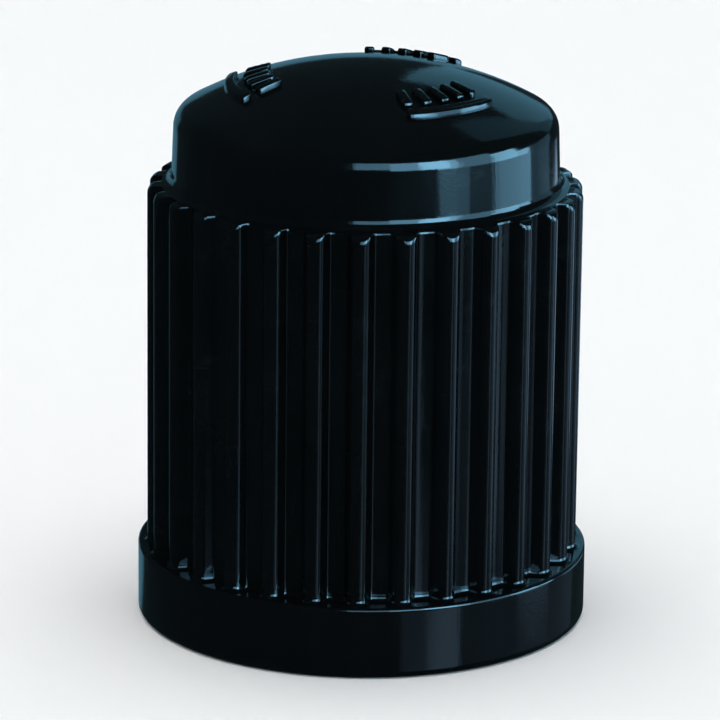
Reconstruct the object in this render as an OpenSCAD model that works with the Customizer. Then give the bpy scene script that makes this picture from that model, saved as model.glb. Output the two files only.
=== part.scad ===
/* [Skirt] */
// Outside diameter of the smooth band at the open end
skirt_d = 10; // [9.9:0.05:11]
// Height of the smooth band
skirt_h = 1.6; // [1:0.1:2.4]
// Radius of the rounded edge at the mouth
mouth_round = 0.15; // [0.05:0.05:0.3]
// Bevel on the edge of the skirt's upper ledge
ledge_bevel = 0.06; // [0.02:0.02:0.1]

/* [Grip ribs] */
// Diameter over the ribs
rib_d = 9.6; // [9.5:0.05:9.8]
// Number of ribs around the barrel
rib_count = 30; // [20:1:32]
// Height of the ribbed barrel above the skirt
rib_h = 8.2; // [7.8:0.1:10]
// Depth of the grooves between ribs
rib_depth = 0.32; // [0.15:0.01:0.34]
// Radius of a rib's rounded crest
crest_round = 0.24; // [0.18:0.01:0.26]
// Radius of the hollow corners in a groove
groove_round = 0.2; // [0.12:0.01:0.22]
// Lean of a rib's flanks from straight out
flank_lean = 25.5; // [20:0.5:35]
// Bevel on the ribs' upper ends
rib_end_bevel = 0.14; // [0.05:0.01:0.2]

/* [Collar and crown] */
// Diameter of the smooth collar where it rises from the shoulder
collar_d = 8.55; // [8.3:0.05:8.6]
// Height of the collar from the shoulder to the edge of the dome
collar_h = 1.55; // [1:0.05:2.2]
// Draft angle of the collar's side
collar_draft = 2.2; // [0:0.1:4]
// Radius of the hollow fillet at the collar's foot
foot_fillet = 0.16; // [0.1:0.01:0.18]
// Radius of the rounded edge between collar and dome
crown_round = 0.3; // [0.1:0.05:0.5]
// Rise of the dome above its edge
dome_rise = 1.15; // [0.8:0.05:1.6]

/* [Raised marks] */
// Number of groups of marks round the crown
mark_groups = 3; // [1:1:4]
// Direction of the first group, seen from above
mark_turn = -50; // [-180:5:180]
// Radius of the gap side of the curved bars
mark_ring_r = 2.9; // [2.6:0.05:3.1]
// Height of the marks above the dome
mark_h = 0.14; // [0.08:0.01:0.2]
// Width of each raised line
mark_w = 0.22; // [0.15:0.01:0.3]
// Angle that one group spans
mark_span = 44; // [40:1:60]
// Number of short ticks inside each curved bar
mark_ticks = 5; // [3:1:6]
// Length of a tick
mark_tick_l = 0.55; // [0.3:0.05:0.7]
// Clear space between the bar and the ticks
mark_gap = 0.2; // [0.1:0.05:0.3]

/* [Bore] */
// Crest diameter of the valve thread in the bore
thread_crest_d = 7; // [6.8:0.05:7.2]
// Length of the threaded part of the bore
thread_l = 6; // [5:0.1:7]
// Diameter of the plain mouth below the thread
mouth_d = 8.1; // [8:0.05:8.3]
// Depth of the plain mouth
mouth_depth = 1.2; // [0.8:0.1:2]
// Lead-in bevel at the mouth
mouth_bevel = 0.2; // [0.1:0.05:0.3]
// Diameter of the pocket under the crown
pocket_d = 6.2; // [5.6:0.1:6.4]
// Thickness of the crown's wall above the pocket
crown_wall = 1.35; // [1:0.05:2]
// Radius of the rounded corner at the top of the pocket
pocket_round = 0.7; // [0.2:0.1:1]

/* [Washer] */
// Outside diameter of the sealing washer
washer_d = 7.9; // [7.6:0.05:7.9]
// Diameter of the hole in the washer
washer_hole_d = 3.6; // [3:0.1:4.4]
// Thickness of the washer
washer_t = 1.2; // [0.8:0.1:1.5]
// Bevel on the washer's four edges
washer_bevel = 0.1; // [0.05:0.05:0.2]
// Clearance round the washer in its recess
washer_side_gap = 0.05; // [0.02:0.01:0.08]
// Clearance between the washer and the lip that traps it
washer_lip_gap = 0.05; // [0.02:0.01:0.1]

/* [Hidden] */
$fn = 96;

// Segments in the short rounded edges of the profiles
round_steps = 5;
// Segments over a rib's crest and in each corner of a groove
crest_steps = 6;
groove_steps = 2;
// Segments round the dome
dome_steps = 180;
// How far one solid runs into another that it is joined to or cut from
bite = 0.5;
// The middle of the first rib faces the front
front_a = -90;

// Outside levels
skirt_r = skirt_d / 2;
rib_r = rib_d / 2;
root_r = rib_r - rib_depth;
shoulder_z = skirt_h + rib_h;
dome_edge_z = shoulder_z + collar_h;
crown_z = dome_edge_z + dome_rise;

// The dome is a piece of a sphere through its edge and its top
collar_foot_r = collar_d / 2;
dome_edge_r = collar_foot_r - collar_h * tan(collar_draft);
dome_r = (dome_edge_r * dome_edge_r + dome_rise * dome_rise) / (2 * dome_rise);
dome_centre_z = crown_z - dome_r;

// Inside levels
thread_r = thread_crest_d / 2;
mouth_r = mouth_d / 2;
recess_r = washer_d / 2 + washer_side_gap;
recess_z = mouth_depth + thread_l;
seat_z = recess_z + washer_t + washer_lip_gap;
pocket_r = pocket_d / 2;
pocket_top_z = crown_z - crown_wall;
pocket_corner = min(pocket_round, pocket_top_z - seat_z);

// Points of an arc round centre c, from angle a to angle b
function arc(c, r, a, b) = [
    for (i = [0:round_steps])
        let (t = a + (b - a) * i / round_steps)
        [c[0] + r * cos(t), c[1] + r * sin(t)]
];

// Centre of the rounded edge that touches the collar's side and the dome from inside.
// It lies on the side moved inwards by the round, and on the dome's circle shrunk by it.
function edge_centre_offset(z) =
    dome_edge_r - crown_round / cos(collar_draft) - (z - dome_edge_z) * tan(collar_draft);
function edge_centre_error(z) =
    norm([edge_centre_offset(z), z - dome_centre_z]) - (dome_r - crown_round);
function edge_centre_z(low, high, n = 40) =
    n == 0 ? (low + high) / 2
    : let (mid = (low + high) / 2)
      edge_centre_error(mid) > 0 ? edge_centre_z(low, mid, n - 1)
      : edge_centre_z(mid, high, n - 1);
round_z = edge_centre_z(dome_edge_z - 3 * crown_round, dome_edge_z);
round_c = [edge_centre_offset(round_z), round_z];
// Direction from the dome's centre through the rounded edge's centre
round_dir = atan2(round_c[1] - dome_centre_z, round_c[0]);

// Centre of the hollow fillet that touches the shoulder and the collar's side from outside.
// It stays on the ring between the collar and the groove floors.
fillet_share = 0.8;
fillet_r = min(foot_fillet, fillet_share * (root_r - collar_foot_r));
fillet_c = [
    collar_foot_r - fillet_r * tan(collar_draft) + fillet_r / cos(collar_draft),
    shoulder_z + fillet_r
];

// A rib turns by this much from its crest to a flank, and back by as much in the groove.
// Both rounds shrink together where the groove is too shallow for them.
flank_turn = 90 - flank_lean;
rounds_share = 0.95;
rounds_d = (crest_round + groove_round) * (1 - cos(flank_turn));
rounds_fit = min(1, rounds_share * rib_depth / rounds_d);
crest_r = crest_round * rounds_fit;
groove_r = groove_round * rounds_fit;
flank_l = (rib_depth - rounds_d * rounds_fit) / sin(flank_turn);
// Centre of a groove's corner, across from the rib's middle
groove_x = (crest_r + groove_r) * sin(flank_turn) + flank_l * cos(flank_turn);

function polar(r, a) = [r * cos(a), r * sin(a)];

// Points of one corner of a groove, on the given side of the rib, as [across, depth]
function groove_corner(side) = [
    for (i = [0:groove_steps])
        let (b = flank_turn * (side < 0 ? i : groove_steps - i) / groove_steps)
        [side * (groove_x - groove_r * sin(b)), rib_depth - groove_r * (1 - cos(b))]
];

// Section of one rib laid out flat, from floor to floor over the crest, as [across, depth]
function rib_section() = concat(
    groove_corner(-1),
    [
        for (i = [0:crest_steps])
            let (b = flank_turn * (2 * i / crest_steps - 1))
            [crest_r * sin(b), crest_r * (1 - cos(b))]
    ],
    groove_corner(1)
);

// Outline of the ribbed barrel seen from above, with one rib centred on each pitch
function rib_outline() = [
    for (i = [0:rib_count - 1], p = rib_section())
        polar(rib_r - p[1], front_a + i * 360 / rib_count + p[0] / rib_r * 180 / PI)
];

// The barrel carries the ribs, and their upper ends are bevelled all round
module ribbed_barrel() {
    intersection() {
        translate([0, 0, skirt_h - bite])
            linear_extrude(height = rib_h + bite)
                polygon(rib_outline());
        rotate_extrude()
            polygon([
                [0, skirt_h - 2 * bite],
                [rib_r + bite, skirt_h - 2 * bite],
                [rib_r + bite, shoulder_z - rib_end_bevel - bite],
                [rib_r - rib_end_bevel - bite, shoulder_z + bite],
                [0, shoulder_z + bite]
            ]);
    }
}

// Plain band at the open end, with a rounded mouth edge and a bevelled upper ledge
module skirt() {
    rotate_extrude()
        polygon(concat(
            [[0, 0]],
            arc([skirt_r - mouth_round, mouth_round], mouth_round, -90, 0),
            [
                [skirt_r, skirt_h - ledge_bevel],
                [skirt_r - ledge_bevel, skirt_h],
                [0, skirt_h]
            ]
        ));
}

// Drafted collar with its rounded upper edge, turned up to the dome
module collar() {
    rotate_extrude()
        polygon(concat(
            [[0, shoulder_z - bite], [fillet_c[0], shoulder_z - bite]],
            arc(fillet_c, fillet_r, -90, -180 - collar_draft),
            arc(round_c, crown_round, collar_draft, round_dir),
            [
                [round_c[0], crown_z + bite],
                [0, crown_z + bite]
            ]
        ));
}

// The ball that the dome is a piece of, drawn larger by up for the tops of the marks
module dome_ball(up = 0) {
    translate([0, 0, dome_centre_z])
        sphere(r = dome_r + up, $fn = dome_steps);
}

// One group of raised marks: a curved bar with short ticks inside it
module mark_group() {
    tick_out_r = mark_ring_r - mark_gap;
    tick_spread = mark_span - 2 * asin(mark_w / 2 / tick_out_r);
    rotate([0, 0, -mark_span / 2])
        rotate_extrude(angle = mark_span)
            translate([mark_ring_r, dome_edge_z])
                square([mark_w, dome_rise + bite]);
    for (i = [0:mark_ticks - 1])
        rotate([0, 0, (i / (mark_ticks - 1) - 0.5) * tick_spread])
            translate([tick_out_r - mark_tick_l, -mark_w / 2, dome_edge_z])
                cube([mark_tick_l, mark_w, dome_rise + bite]);
}

module marks() {
    intersection() {
        for (i = [0:mark_groups - 1])
            rotate([0, 0, mark_turn + i * 360 / mark_groups])
                mark_group();
        dome_ball(mark_h);
    }
}

// Everything that is hollow: mouth, threaded bore, washer recess and pocket
module bore() {
    rotate_extrude()
        polygon(concat(
            [
                [0, -bite],
                [mouth_r + mouth_bevel + bite, -bite],
                [mouth_r + mouth_bevel, 0],
                [mouth_r, mouth_bevel],
                [mouth_r, mouth_depth],
                [thread_r, mouth_depth],
                [thread_r, recess_z],
                [recess_r, recess_z],
                [recess_r, seat_z],
                [pocket_r, seat_z]
            ],
            arc(
                [pocket_r - pocket_corner, pocket_top_z - pocket_corner],
                pocket_corner, 0, 90
            ),
            [[0, pocket_top_z]]
        ));
}

module cap_shell() {
    color([0.07, 0.08, 0.09])
        difference() {
            union() {
                skirt();
                ribbed_barrel();
                intersection() {
                    collar();
                    dome_ball();
                }
                marks();
            }
            bore();
        }
}

// Flat rubber ring that lies against the seat under the crown
module sealing_washer() {
    washer_r = washer_d / 2;
    hole_r = washer_hole_d / 2;
    top_z = seat_z;
    low_z = seat_z - washer_t;
    color([0.16, 0.16, 0.16])
        rotate_extrude()
            polygon([
                [hole_r + washer_bevel, low_z],
                [washer_r - washer_bevel, low_z],
                [washer_r, low_z + washer_bevel],
                [washer_r, top_z - washer_bevel],
                [washer_r - washer_bevel, top_z],
                [hole_r + washer_bevel, top_z],
                [hole_r, top_z - washer_bevel],
                [hole_r, low_z + washer_bevel]
            ]);
}

cap_shell();
sealing_washer();
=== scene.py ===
"""A tyre valve cap: one black plastic moulding with a rubber seal inside, standing on its open end."""

import math

import bmesh
import bpy
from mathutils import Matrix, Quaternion, Vector


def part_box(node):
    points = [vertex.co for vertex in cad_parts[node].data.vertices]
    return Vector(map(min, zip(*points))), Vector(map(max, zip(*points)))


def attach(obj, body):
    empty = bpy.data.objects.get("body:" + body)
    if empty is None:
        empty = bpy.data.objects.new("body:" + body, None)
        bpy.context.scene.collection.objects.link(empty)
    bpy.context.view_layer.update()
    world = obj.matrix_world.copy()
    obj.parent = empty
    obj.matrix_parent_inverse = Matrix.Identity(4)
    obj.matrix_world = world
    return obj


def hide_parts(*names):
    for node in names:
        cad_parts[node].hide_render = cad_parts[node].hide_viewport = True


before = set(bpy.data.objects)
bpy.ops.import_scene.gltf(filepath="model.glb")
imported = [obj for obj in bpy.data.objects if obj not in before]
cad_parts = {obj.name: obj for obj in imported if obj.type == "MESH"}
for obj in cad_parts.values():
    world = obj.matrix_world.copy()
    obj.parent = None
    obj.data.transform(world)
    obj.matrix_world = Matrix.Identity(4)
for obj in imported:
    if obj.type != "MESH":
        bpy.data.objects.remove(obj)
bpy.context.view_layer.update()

# Cap shell
# One injection moulding in black plastic. Everything on it is turned in shape, apart from the ribs that
# fingers grip, the raised marks on the crown and the thread that screws onto the valve's stem.

MM = 0.001
_, shell_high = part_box("cap_shell")
skirt_r = shell_high.x
crown_z = shell_high.z

# Outside sizes
skirt_h = 1.6 * MM
mouth_round = 0.15 * MM
ledge_round = 0.07 * MM
rib_count = 30
rib_r = 4.8 * MM
rib_depth = 0.32 * MM
crest_round = 0.24 * MM
groove_round = 0.08 * MM
flank_lean = math.radians(25.5)
rib_end_round = 0.2 * MM
rib_foot_round = 0.1 * MM
shoulder_z = 9.8 * MM
collar_foot_r = 4.275 * MM
collar_h = 1.55 * MM
collar_draft = math.radians(2.2)
foot_fillet = 0.22 * MM
crown_round = 0.5 * MM

# Every other edge is softened a little, and a row of points beside each round holds the straight wall true
soft_edge = 0.03 * MM
hold = 0.03 * MM
crease = math.radians(40)
weld = 0.0002 * MM

# Inside sizes; the thread's mouth and root are half widths, as shares of its pitch
mouth_r = 4.05 * MM
mouth_bevel = 0.2 * MM
thread_start = 1.2 * MM
thread_end = 7.2 * MM
thread_crest_r = 3.5 * MM
thread_depth = 0.4 * MM
thread_pitch = 25.4 / 32 * MM
thread_rows = 8
thread_mouth_share = 0.374
thread_root_share = 0.083
recess_r = 4.0 * MM
seat_z = 8.45 * MM
pocket_r = 3.1 * MM
pocket_top_z = 11.15 * MM
pocket_round = 0.7 * MM

# The dome is a piece of a sphere, and a rounded edge joins it to the drafted collar
dome_edge_z = shoulder_z + collar_h
dome_rise = crown_z - dome_edge_z
dome_edge_r = collar_foot_r - collar_h * math.tan(collar_draft)
dome_r = (dome_edge_r**2 + dome_rise**2) / (2 * dome_rise)
dome_centre_z = crown_z - dome_r

lean = math.tan(collar_draft)
inset_r = dome_edge_r - crown_round / math.cos(collar_draft)
above_centre = dome_edge_z - dome_centre_z
half_b = above_centre - inset_r * lean
rest = inset_r**2 + above_centre**2 - (dome_r - crown_round) ** 2
drop = (math.sqrt(half_b**2 - (lean**2 + 1) * rest) - half_b) / (lean**2 + 1)
round_centre = (inset_r - drop * lean, dome_edge_z + drop)
round_turn = math.atan2(round_centre[1] - dome_centre_z, round_centre[0])
fillet_centre = (
    collar_foot_r - foot_fillet * lean + foot_fillet / math.cos(collar_draft),
    shoulder_z + foot_fillet,
)


def arc(centre, radius, start, end, steps):
    """Points (radius from the axis, height) along an arc, with both ends."""
    return [
        (centre[0] + radius * math.cos(a), centre[1] + radius * math.sin(a))
        for a in (start + (end - start) * i / steps for i in range(steps + 1))
    ]


def rows(points, **marks):
    """Rows of the wall: a point of its section, and how the grooves and the thread act on it."""
    plain = {"ribbed": 0.0, "ease": 0.0, "threaded": 0.0, "groove": 0.0}
    return [(point, {**plain, **marks}) for point in points]


def eased(depth):
    """How far an edge rounded by soft_edge stands back at this depth below it."""
    short = max(soft_edge - depth, 0.0)
    return soft_edge - math.sqrt(soft_edge**2 - short**2)


quarter = math.pi / 2
section = rows(arc((0, dome_centre_z), dome_r, quarter, round_turn, steps=26))
crown_edge = arc(round_centre, crown_round, round_turn, collar_draft, steps=9)
collar_foot = arc(fillet_centre, foot_fillet, -math.pi - collar_draft, -quarter, steps=7)
hold_r, hold_z = hold * math.sin(collar_draft), hold * math.cos(collar_draft)
section += rows(crown_edge[1:])
section += rows([(crown_edge[-1][0] + hold_r, crown_edge[-1][1] - hold_z)])
section += rows([(collar_foot[0][0] - hold_r, collar_foot[0][1] + hold_z)])
section += rows(collar_foot)
rib_end = (rib_r - rib_end_round, shoulder_z - rib_end_round)
for point in arc(rib_end, rib_end_round, quarter, 0, steps=6):
    section += rows([point], ribbed=1.0, ease=eased(shoulder_z - point[1]))
rib_foot = (rib_r + rib_foot_round, skirt_h + rib_foot_round)
section += rows([(rib_r, rib_end[1] - hold), (rib_r, rib_foot[1] + hold)], ribbed=1.0)
for point in arc(rib_foot, rib_foot_round, 2 * quarter, 3 * quarter, steps=4):
    section += rows([point], ribbed=1.0, ease=rib_r - point[0])
section += rows(arc((skirt_r - ledge_round, skirt_h - ledge_round), ledge_round, quarter, 0, steps=5))
section += rows([(skirt_r, skirt_h - ledge_round - hold), (skirt_r, mouth_round + hold)])
section += rows(arc((skirt_r - mouth_round, mouth_round), mouth_round, 0, -quarter, steps=6))
section += rows([(mouth_r + mouth_bevel, 0), (mouth_r, mouth_bevel), (mouth_r, thread_start)])
step = thread_pitch / thread_rows
first_row = thread_start + soft_edge - thread_pitch
section += rows([(thread_crest_r + soft_edge, thread_start)])
for i in range(math.ceil((thread_end - first_row) / step) + 1):
    across = abs(i % thread_rows / thread_rows - 0.5)
    cut = (thread_mouth_share - across) / (thread_mouth_share - thread_root_share)
    cut = min(max(cut, 0.0), 1.0)
    section += rows([(thread_crest_r, first_row + i * step)], threaded=1.0, groove=cut)
section += rows([(thread_crest_r + soft_edge, thread_end), (recess_r, thread_end)])
section += rows([(recess_r, seat_z), (pocket_r, seat_z)])
pocket_corner = (pocket_r - pocket_round, pocket_top_z - pocket_round)
section += rows(arc(pocket_corner, pocket_round, 0, quarter, steps=6) + [(0, pocket_top_z)])

section_mesh = bpy.data.meshes.new("cap_section")
section_mesh.from_pydata([(r, 0, z) for (r, z), _ in section], [], [])
for name in ("ribbed", "ease", "threaded", "groove"):
    layer = section_mesh.attributes.new(name, "FLOAT", "POINT")
    layer.data.foreach_set("value", [marks[name] for _, marks in section])
cap_shell = bpy.data.objects.new("cap_shell_moulding", section_mesh)
bpy.context.scene.collection.objects.link(cap_shell)


# One rib unrolled flat, from the middle of one groove to the middle of the next
pitch = 2 * math.pi * rib_r / rib_count
flank_turn = quarter - flank_lean
rounds_depth = (crest_round + groove_round) * (1 - math.cos(flank_turn))
flank_l = (rib_depth - rounds_depth) / math.sin(flank_turn)
groove_x = (crest_round + groove_round) * math.sin(flank_turn) + flank_l * math.cos(flank_turn)
corner_y = rib_depth - groove_round
rib_path = arc((-groove_x, corner_y), groove_round, quarter, quarter - flank_turn, steps=3)
rib_path += arc((0, crest_round), crest_round, -quarter - flank_turn, flank_turn - quarter, steps=8)
rib_path += arc((groove_x, corner_y), groove_round, quarter + flank_turn, quarter, steps=3)
rib_mesh = bpy.data.meshes.new("rib_outline")
rib_mesh.from_pydata([(x / pitch, y / rib_depth, 0) for x, y in rib_path], [], [])
rib_outline = bpy.data.objects.new("rib_outline", rib_mesh)
bpy.context.scene.collection.objects.link(rib_outline)


class Wire:
    """One output of a node. Arithmetic on it adds Math nodes to its tree."""

    def __init__(self, net, socket):
        self.net, self.socket = net, socket

    def __add__(self, other):
        return self.net.math("ADD", self, other)

    def __radd__(self, other):
        return self.net.math("ADD", other, self)

    def __sub__(self, other):
        return self.net.math("SUBTRACT", self, other)

    def __rsub__(self, other):
        return self.net.math("SUBTRACT", other, self)

    def __mul__(self, other):
        return self.net.math("MULTIPLY", self, other)

    def __rmul__(self, other):
        return self.net.math("MULTIPLY", other, self)

    def __truediv__(self, other):
        return self.net.math("DIVIDE", self, other)

    def __rtruediv__(self, other):
        return self.net.math("DIVIDE", other, self)

    def __pow__(self, other):
        return self.net.math("POWER", self, other)

    def clipped(self, low=0.0, high=1.0):
        return self.net.math("MINIMUM", self.net.math("MAXIMUM", self, low), high)

    def split(self):
        parts = self.net.add("ShaderNodeSeparateXYZ", {"Vector": self})
        return [Wire(self.net, socket) for socket in parts.socket.node.outputs]


class Net:
    """A node tree under construction."""

    def __init__(self, tree):
        self.tree = tree

    def plug(self, value, socket):
        """Sets a socket to a value, or links it to a wire or to each wire of a list."""
        if isinstance(value, list):
            for part in value:
                self.plug(part, socket)
        elif isinstance(value, Wire):
            self.tree.links.new(value.socket, socket)
        else:
            socket.default_value = value

    def add(self, kind, sockets=None, out=0, stops=None, **settings):
        """Adds a node: its settings first, then the values or links of its sockets."""
        node = self.tree.nodes.new(kind)
        for name, value in settings.items():
            setattr(node, name, value)
        if stops:
            ramp = node.color_ramp.elements
            while len(ramp) < len(stops):
                ramp.new(0.5)
            for element, (place, shade) in zip(ramp, stops):
                element.position = place
                element.color = (*shade, 1) if isinstance(shade, tuple) else (shade, shade, shade, 1)
        for key, value in (sockets or {}).items():
            self.plug(value, node.inputs[key])
        return Wire(self, node.outputs[out]) if node.outputs else None

    def math(self, operation, *values):
        return self.add("ShaderNodeMath", dict(enumerate(values)), operation=operation)


def shape_tree(name, inputs):
    """A Geometry Nodes tree with named inputs: the net, and a wire from each input."""
    tree = bpy.data.node_groups.new(name, "GeometryNodeTree")
    tree.interface.new_socket("Geometry", in_out="INPUT", socket_type="NodeSocketGeometry")
    tree.interface.new_socket("Geometry", in_out="OUTPUT", socket_type="NodeSocketGeometry")
    for label, kind in inputs.items():
        tree.interface.new_socket(label, in_out="INPUT", socket_type="NodeSocket" + kind)
    net = Net(tree)
    source = net.add("NodeGroupInput")
    return net, {socket.name: Wire(net, socket) for socket in source.socket.node.outputs if socket.name}


def finish_tree(net, geometry, material):
    """Ends a tree: everything is real, and has its material."""
    real = net.add("GeometryNodeRealizeInstances", {"Geometry": geometry})
    dressed = net.add("GeometryNodeSetMaterial", {"Geometry": real, "Material": material})
    net.add("NodeGroupOutput", {"Geometry": dressed})


def grow(piece, tree, values):
    """Runs a tree on a piece with these input values, and keeps the result as its plain mesh."""
    modifier = piece.modifiers.new(tree.name, "NODES")
    modifier.node_group = tree
    inputs = [item for item in tree.interface.items_tree if item.in_out == "INPUT"]
    sockets = {item.name: item.identifier for item in inputs}
    for name, value in values.items():
        modifier[sockets[name]] = value
    graph = bpy.context.evaluated_depsgraph_get()
    mesh = bpy.data.meshes.new_from_object(piece.evaluated_get(graph), depsgraph=graph)
    piece.modifiers.remove(modifier)
    old = piece.data
    piece.data = mesh
    bpy.data.meshes.remove(old)
    mesh.name = piece.name


def finish(name):
    """A new material, its net, the sockets of its shader, and the place on the piece in millimetres."""
    material = bpy.data.materials.new(name)
    material.use_nodes = True
    look = Net(material.node_tree)
    place = look.add("ShaderNodeTexCoord", out="Object")
    place_mm = look.add("ShaderNodeVectorMath", {0: place, "Scale": 1 / MM}, operation="SCALE")
    return material, look, material.node_tree.nodes["Principled BSDF"].inputs, place_mm


# Black plastic: glossy from the mould, with faint flow clouds, fine draw marks down the walls and scuffs
plastic, look, skin, place_mm = finish("black_plastic")
drawn_mm = look.add("ShaderNodeVectorMath", {0: place_mm, 1: (9.0, 9.0, 0.35)}, operation="MULTIPLY")
cloud = look.add("ShaderNodeTexNoise", {"Vector": place_mm, "Scale": 0.6, "Detail": 3.0})
grain = look.add("ShaderNodeTexNoise", {"Vector": place_mm, "Scale": 14.0, "Detail": 3.0})
draw_marks = look.add("ShaderNodeTexNoise", {"Vector": drawn_mm, "Scale": 1.0, "Detail": 2.0})
patch = look.add(
    "ShaderNodeTexNoise",
    {"Vector": place_mm, "Scale": 1.7, "Detail": 5.0, "Roughness": 0.65},
)
scuff = ((patch - 0.56) * 9.0).clipped() * grain
shade = look.add(
    "ShaderNodeValToRGB",
    {"Fac": 0.6 * cloud + 0.4 * scuff},
    stops=[(0.15, (0.0012, 0.0021, 0.0025)), (0.6, (0.0026, 0.0036, 0.0042))],
)
look.plug(shade, skin["Base Color"])
look.plug(0.05 + 0.06 * cloud + 0.03 * draw_marks + 0.1 * scuff, skin["Roughness"])
bump = look.add(
    "ShaderNodeBump",
    {"Strength": 0.12, "Distance": 0.01 * MM, "Height": 0.6 * grain + draw_marks},
)
look.plug(bump, skin["Normal"])

# Raised marks on the crown
# Three curved bars, each with five ticks inside it. They are cut into the mould, so they stand up from
# the crown as one with the cap, with softened edges. The wall is joined to them where it is made.
mark_groups = 3
mark_ticks = 5
mark_turn = math.radians(-50)
mark_span = math.radians(44)
mark_ring_r = 2.9 * MM
mark_w = 0.22 * MM
mark_h = 0.14 * MM
mark_gap = 0.2 * MM
mark_tick_l = 0.55 * MM
mark_sink = 0.1 * MM
mark_round = 0.05 * MM


def raised_bar(name, length, cuts):
    """A bar along Y that stands on the crown, with rounded upper edges and ends."""
    mesh = bpy.data.meshes.new(name)
    shape = bmesh.new()
    bmesh.ops.create_cube(shape, size=1)
    for vertex in shape.verts:
        vertex.co.x *= mark_w
        vertex.co.y *= length
        vertex.co.z = mark_h if vertex.co.z > 0 else -mark_sink
    low_edges = [e for e in shape.edges if all(v.co.z < 0 for v in e.verts)]
    bmesh.ops.bevel(
        shape,
        geom=[e for e in shape.edges if e not in low_edges],
        offset=mark_round,
        segments=3,
        profile=0.5,
        affect="EDGES",
    )
    for i in range(1, cuts):
        whole = shape.verts[:] + shape.edges[:] + shape.faces[:]
        at = (0, length * (i / cuts - 0.5), 0)
        bmesh.ops.bisect_plane(shape, geom=whole, plane_co=at, plane_no=(0, 1, 0))
    shape.to_mesh(mesh)
    shape.free()
    bar = bpy.data.objects.new(name, mesh)
    bpy.context.scene.collection.objects.link(bar)
    return bar


bar_r = mark_ring_r + mark_w / 2
tick_out_r = mark_ring_r - mark_gap
crown_marks = raised_bar("crown_bar", bar_r * mark_span, 16)
crown_tick = raised_bar("crown_tick", mark_tick_l, 3)

net, given = shape_tree(
    "crown marks",
    {
        "Tick": "Object",
        "Groups": "Int",
        "Ticks": "Int",
        "First Turn": "Float",
        "Tick Spread": "Float",
        "Bar Radius": "Float",
        "Tick Middle": "Float",
        "Dome Radius": "Float",
        "Dome Centre": "Float",
        "Material": "Material",
    },
)
across, along, up = net.add("GeometryNodeInputPosition").split()
bend = along / given["Bar Radius"]
reach = given["Bar Radius"] + across
bent = net.add(
    "ShaderNodeCombineXYZ",
    {0: reach * net.math("COSINE", bend), 1: reach * net.math("SINE", bend), 2: up},
)
bar = net.add("GeometryNodeSetPosition", {"Geometry": given["Geometry"], "Position": bent})
tick = net.add("GeometryNodeObjectInfo", {"Object": given["Tick"]}, out="Geometry")
on_ray = net.add("ShaderNodeCombineXYZ", {0: given["Tick Middle"] + along, 1: across * -1.0, 2: up})
tick = net.add("GeometryNodeSetPosition", {"Geometry": tick, "Position": on_ray})
index = net.add("GeometryNodeInputIndex")
spots = net.add("GeometryNodeMeshLine", {"Count": given["Ticks"], "Offset": (0, 0, 0)})
share = index / (given["Ticks"] - 1.0) - 0.5
turn = net.add("ShaderNodeCombineXYZ", {2: share * given["Tick Spread"]})
ticks = net.add("GeometryNodeInstanceOnPoints", {"Points": spots, "Instance": tick, "Rotation": turn})
group = net.add("GeometryNodeJoinGeometry", {"Geometry": [bar, ticks]})
spots = net.add("GeometryNodeMeshLine", {"Count": given["Groups"], "Offset": (0, 0, 0)})
turn = net.add(
    "ShaderNodeCombineXYZ", {2: given["First Turn"] + index * (2 * math.pi) / given["Groups"]}
)
groups = net.add("GeometryNodeInstanceOnPoints", {"Points": spots, "Instance": group, "Rotation": turn})
real = net.add("GeometryNodeRealizeInstances", {"Geometry": groups})
x, y, up = net.add("GeometryNodeInputPosition").split()
on_dome = net.math("SQRT", (given["Dome Radius"] + up) ** 2.0 - x * x - y * y) + given["Dome Centre"]
seat = net.add("ShaderNodeCombineXYZ", {0: x, 1: y, 2: on_dome})
seated = net.add("GeometryNodeSetPosition", {"Geometry": real, "Position": seat})
finish_tree(net, seated, given["Material"])
grow(
    crown_marks,
    net.tree,
    {
        "Tick": crown_tick,
        "Groups": mark_groups,
        "Ticks": mark_ticks,
        "First Turn": mark_turn,
        "Tick Spread": mark_span - 2 * math.asin(mark_w / 2 / tick_out_r),
        "Bar Radius": bar_r,
        "Tick Middle": tick_out_r - mark_tick_l / 2,
        "Dome Radius": dome_r,
        "Dome Centre": dome_centre_z,
        "Material": plastic,
    },
)

# Wall of the shell
# The whole skin of the moulding, outside and inside, as one closed surface. It is a grid with a row for
# each point of the turned section and a column for each point of the ribs' outline, welded where it meets.
net, given = shape_tree(
    "moulded wall",
    {
        "Rib Outline": "Object",
        "Marks": "Object",
        "Ribs": "Int",
        "Rib Radius": "Float",
        "Groove Depth": "Float",
        "Thread Pitch": "Float",
        "Thread Depth": "Float",
        "Thread Start": "Float",
        "Thread End": "Float",
        "Sharp Above": "Float",
        "Weld": "Float",
        "Material": "Material",
    },
)
outline = net.add("GeometryNodeObjectInfo", {"Object": given["Rib Outline"]}, out="Geometry")
marks = net.add("GeometryNodeObjectInfo", {"Object": given["Marks"]}, out="Geometry")
points_per_rib = net.add("GeometryNodeAttributeDomainSize", {"Geometry": outline})
row_count = net.add("GeometryNodeAttributeDomainSize", {"Geometry": given["Geometry"]})
steps_round = points_per_rib * given["Ribs"]
steps_down = row_count - 1.0
grid = net.add(
    "GeometryNodeMeshGrid",
    {
        "Size X": steps_round,
        "Size Y": steps_down,
        "Vertices X": steps_round + 1.0,
        "Vertices Y": row_count,
    },
)
x, y, _ = net.add("GeometryNodeInputPosition").split()
column = net.math("ROUND", x + steps_round / 2.0)
row = net.math("ROUND", steps_down / 2.0 - y)


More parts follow.
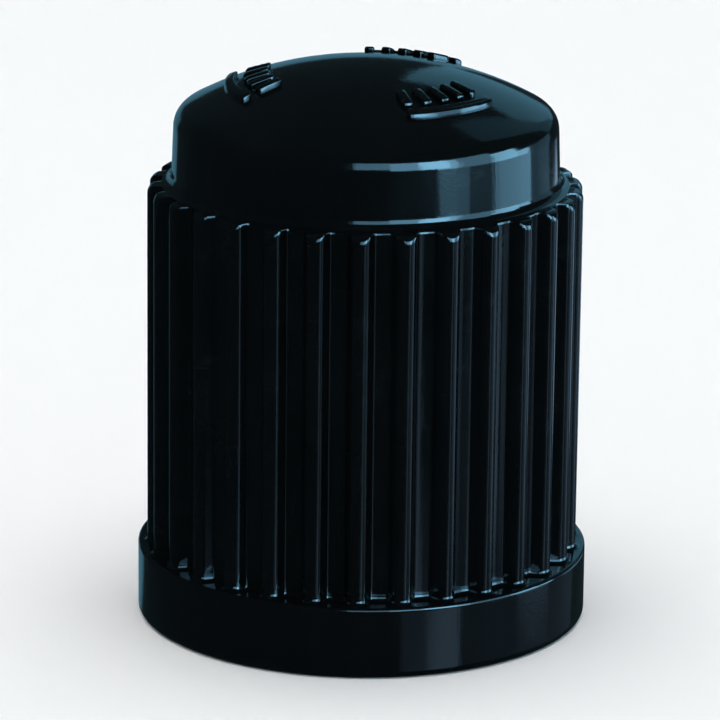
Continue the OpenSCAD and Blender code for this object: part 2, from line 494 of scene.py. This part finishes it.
def sampled(geometry, field, at, kind="FLOAT"):
    """What a field has at one point of another geometry."""
    return net.add(
        "GeometryNodeSampleIndex", {"Geometry": geometry, "Value": field, "Index": at}, data_type=kind
    )


def of_section(name):
    """How the grooves or the thread act on this row of the wall."""
    field = net.add("GeometryNodeInputNamedAttribute", {"Name": name})
    return sampled(given["Geometry"], field, row)


position = net.add("GeometryNodeInputPosition")
wall_r, _, wall_z = sampled(given["Geometry"], position, row, "FLOAT_VECTOR").split()
rib_number = net.math("FLOOR", column / points_per_rib)
point_number = column - rib_number * points_per_rib
along_pitch, groove_share, _ = sampled(outline, position, point_number, "FLOAT_VECTOR").split()
turns = (rib_number + along_pitch) / given["Ribs"]
ribbed_r = net.math(
    "MINIMUM", wall_r, given["Rib Radius"] - given["Groove Depth"] * groove_share - of_section("ease")
)
screw_z = (wall_z + turns * given["Thread Pitch"]).clipped(given["Thread Start"], given["Thread End"])
run_out = given["Thread Pitch"] * 0.5
fade_in = ((screw_z - given["Thread Start"]) / run_out).clipped()
fade_out = ((given["Thread End"] - screw_z) / run_out).clipped()
threaded = of_section("threaded")
cut = threaded * of_section("groove") * given["Thread Depth"] * fade_in * fade_out
r = wall_r + of_section("ribbed") * (ribbed_r - wall_r) + cut
z = wall_z + threaded * (screw_z - wall_z)
angle = turns * (2 * math.pi) - math.pi / 2
spot = net.add(
    "ShaderNodeCombineXYZ", {0: r * net.math("COSINE", angle), 1: r * net.math("SINE", angle), 2: z}
)
wall = net.add("GeometryNodeSetPosition", {"Geometry": grid, "Position": spot})
wall = net.add("GeometryNodeMergeByDistance", {"Geometry": wall, "Distance": given["Weld"]})
union = net.add("GeometryNodeMeshBoolean", {1: [wall, marks]}, operation="UNION", solver="MANIFOLD")
smooth = net.add("GeometryNodeSetShadeSmooth", {"Geometry": union})
bend = net.add("GeometryNodeInputMeshEdgeAngle")
sharp = net.math("GREATER_THAN", bend, given["Sharp Above"])
creased = net.add(
    "GeometryNodeSetShadeSmooth",
    {"Geometry": smooth, "Selection": sharp, "Shade Smooth": False},
    domain="EDGE",
)
finish_tree(net, creased, given["Material"])
grow(
    cap_shell,
    net.tree,
    {
        "Rib Outline": rib_outline,
        "Marks": crown_marks,
        "Ribs": rib_count,
        "Rib Radius": rib_r,
        "Groove Depth": rib_depth,
        "Thread Pitch": thread_pitch,
        "Thread Depth": thread_depth,
        "Thread Start": thread_start + soft_edge,
        "Thread End": thread_end - soft_edge,
        "Sharp Above": crease,
        "Weld": weld,
        "Material": plastic,
    },
)
for helper in (rib_outline, crown_tick, crown_marks):
    bpy.data.objects.remove(helper)
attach(cap_shell, "root")
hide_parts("cap_shell")

# Sealing washer
# A ring punched from black rubber sheet. It is pushed up past the end of the thread and lies trapped in
# its recess, where the valve's mouth closes on it. The walls that the punch cut are a little hollow.
washer_low, washer_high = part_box("sealing_washer")
washer_r = washer_high.x
washer_hole_r = 1.8 * MM
washer_round = 0.1 * MM
washer_hollow = 0.03 * MM
washer_sides = 120
wall_shares = (0.2, 0.4, 0.6, 0.8)
low_z = washer_low.z + washer_round
high_z = washer_high.z - washer_round
inner_x = washer_hole_r + washer_round
outer_x = washer_r - washer_round
ring_profile = arc((inner_x, low_z), washer_round, -math.pi, -quarter, steps=4)
ring_profile += arc((outer_x, low_z), washer_round, -quarter, 0, steps=4)
for share in wall_shares:
    inward = 4 * washer_hollow * share * (1 - share)
    ring_profile.append((washer_r - inward, low_z + (high_z - low_z) * share))
ring_profile += arc((outer_x, high_z), washer_round, 0, quarter, steps=4)
ring_profile += arc((inner_x, high_z), washer_round, quarter, math.pi, steps=4)
for share in wall_shares:
    inward = 4 * washer_hollow * share * (1 - share)
    ring_profile.append((washer_hole_r + inward, high_z + (low_z - high_z) * share))


def turned(name, profile, sides, closed):
    """An object turned round the Z axis from a profile of (radius, height) points."""
    mesh = bpy.data.meshes.new(name)
    shape = bmesh.new()
    line = [shape.verts.new((r, 0, z)) for r, z in profile]
    ends = line[1:] + line[:1] if closed else line[1:]
    edges = [shape.edges.new(pair) for pair in zip(line, ends)]
    bmesh.ops.spin(
        shape,
        geom=line + edges,
        cent=(0, 0, 0),
        axis=(0, 0, 1),
        angle=2 * math.pi,
        steps=sides,
        use_merge=True,
    )
    bmesh.ops.remove_doubles(shape, verts=shape.verts[:], dist=0.0005 * MM)
    bmesh.ops.recalc_face_normals(shape, faces=shape.faces[:])
    for face in shape.faces:
        face.smooth = True
    shape.to_mesh(mesh)
    shape.free()
    piece = bpy.data.objects.new(name, mesh)
    bpy.context.scene.collection.objects.link(piece)
    return piece


# Rubber: dull and dark grey, with a bloom of dust in patches and fine pores
rubber, look, skin, place_mm = finish("seal_rubber")
dust = look.add("ShaderNodeTexNoise", {"Vector": place_mm, "Scale": 1.4, "Detail": 4.0})
pores = look.add("ShaderNodeTexVoronoi", {"Vector": place_mm, "Scale": 16.0}, out="Distance")
shade = look.add(
    "ShaderNodeValToRGB",
    {"Fac": dust},
    stops=[(0.35, (0.018, 0.018, 0.019)), (0.7, (0.042, 0.042, 0.043))],
)
look.plug(shade, skin["Base Color"])
look.plug(0.55 + 0.25 * dust, skin["Roughness"])
bump = look.add("ShaderNodeBump", {"Strength": 0.3, "Distance": 0.02 * MM, "Height": pores})
look.plug(bump, skin["Normal"])

washer = turned("sealing_ring", ring_profile, washer_sides, closed=True)
washer.data.materials.append(rubber)
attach(washer, "root")
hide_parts("sealing_washer")

# Stage
# A pale sheet of paper that the cap stands on, swept up into a wall all round it. The black gloss mirrors
# a darker room, so the sheet isn't seen in it, and the table's light comes up through the sheet.
sheet_r = 0.3
sweep_r = 0.12
sheet_top = 0.6
sheet_sides = 96
sweep = arc((sheet_r, sweep_r), sweep_r, -quarter, 0, steps=12)
sheet_profile = [(0, 0), (0.02, 0), (0.1, 0)] + sweep + [(sheet_r + sweep_r, sheet_top)]
floor = turned("floor", sheet_profile, sheet_sides, closed=False)
paper = bpy.data.materials.new("white_paper")
paper.use_nodes = True
skin = paper.node_tree.nodes["Principled BSDF"].inputs
skin["Base Color"].default_value = (0.86, 0.86, 0.86, 1)
skin["Roughness"].default_value = 0.9
floor.data.materials.append(paper)
floor.visible_glossy = False
floor.visible_shadow = False

# Lamps
# A soft lamp overhead gives the plain light. What the glossy plastic mirrors of the room are cards on a
# circle round it: the windows and walls at its right, and their light on the table.


def lamp(name, size, place, tilt, turn, glow, colour):
    """A soft rectangular lamp; glow is how bright its face is, where 1 is white paper."""
    data = bpy.data.lights.new(name, "AREA")
    data.shape = "RECTANGLE"
    data.size, data.size_y = size
    data.energy = 4 * glow * size[0] * size[1]
    data.color = colour
    light = bpy.data.objects.new(name, data)
    light.location = place
    light.rotation_euler = (tilt, 0, turn)
    bpy.context.scene.collection.objects.link(light)
    return light


ceiling = lamp("ceiling", (0.4, 0.4), (0, 0, 0.4), tilt=0, turn=0, glow=2.65, colour=(1, 1, 1))
ceiling.visible_glossy = False

# Each card spans degrees round from the front, and degrees above and below the level of the shoulder
room_r = 0.6
window_light = (0.42, 1, 1.45)
table_light = (0.62, 1, 1.42)
back_light = (0.34, 1, 1.42)
for name, turns, rises, glow, colour in (
    ("wall_front", (-6, 14), (0, 30), 2.0, window_light),
    ("window_edge", (14, 34), (-5, 28), 3.5, window_light),
    ("window", (34, 51), (-5, 27), 8.6, window_light),
    ("window_foot", (43, 51), (-8.5, -5), 4.5, window_light),
    ("window_frame", (51, 58), (-8.5, 26), 5.0, window_light),
    ("window_sill", (45, 64), (-13, -8.5), 0.85, window_light),
    ("wall_between", (58, 82), (-8.5, 28), 1.8, window_light),
    ("wall_foot", (64, 82), (-13, -8.5), 0.2, window_light),
    ("side_window", (82, 101), (-8.5, 20), 5.1, window_light),
    ("side_window_edge", (101, 112), (-8.5, 6), 3.8, window_light),
    ("side_window_foot", (83, 115), (-13, -8.5), 1.8, window_light),
    ("wall_far_side", (115, 140), (-14, 6), 0.2, window_light),
    ("table_edge", (22, 36), (-26, -19), 0.15, table_light),
    ("table_window", (36, 53), (-26, -19), 0.5, table_light),
    ("table_front", (41, 52), (-19, -13), 0.36, table_light),
    ("table_between", (66, 82), (-18.5, -13), 0.22, table_light),
    ("table_side", (86, 112), (-19.2, -13), 0.5, table_light),
    ("table_near", (53, 140), (-26, -19.2), 0.06, table_light),
    ("table_far_side", (126, 158), (-17.5, -13), 0.5, table_light),
    ("glow_far_right", (140, 158), (6, 50), 0.11, back_light),
    ("glow_behind_right", (158, 176), (4, 30), 0.25, back_light),
    ("glow_behind", (176, 210), (-20, 6), 0.18, back_light),
):
    low, high = (math.tan(math.radians(rise)) * room_r for rise in rises)
    turn = math.radians(sum(turns) / 2)
    width = 2 * room_r * math.tan(math.radians(turns[1] - turns[0]) / 2)
    middle = (room_r * math.sin(turn), -room_r * math.cos(turn), (low + high) / 2 + shoulder_z)
    card = lamp(name, (width, high - low), middle, quarter, turn, glow, colour)
    card.visible_diffuse = False

world = bpy.data.worlds.new("room")
world.use_nodes = True
world.node_tree.nodes["Background"].inputs["Color"].default_value = (0.55, 1, 1.2, 1)
world.node_tree.nodes["Background"].inputs["Strength"].default_value = 0.025
bpy.context.scene.world = world

# Camera
# It looks down a little at the front of the cap, from close by and with a long lens.
eye_level = Vector((0, 0, 6.3 * MM))
aim = Vector((-0.08 * MM, 0, 5.72 * MM))
azimuth, elevation, roll = (math.radians(a) for a in (1.0, 15.83, 0.65))
distance = 110 * MM
back = Vector(
    (
        math.sin(azimuth) * math.cos(elevation),
        -math.cos(azimuth) * math.cos(elevation),
        math.sin(elevation),
    )
)
camera_data = bpy.data.cameras.new("camera")
camera_data.lens = 248.2
camera_data.sensor_width = 36
camera_data.clip_start = 0.01
camera = bpy.data.objects.new("camera", camera_data)
camera.location = eye_level + back * distance
camera.rotation_mode = "QUATERNION"
straight = (aim - camera.location).to_track_quat("-Z", "Y")
camera.rotation_quaternion = straight @ Quaternion((0, 0, 1), roll)
bpy.context.scene.collection.objects.link(camera)
bpy.context.scene.camera = camera
bpy.context.scene.view_settings.view_transform = "Standard"
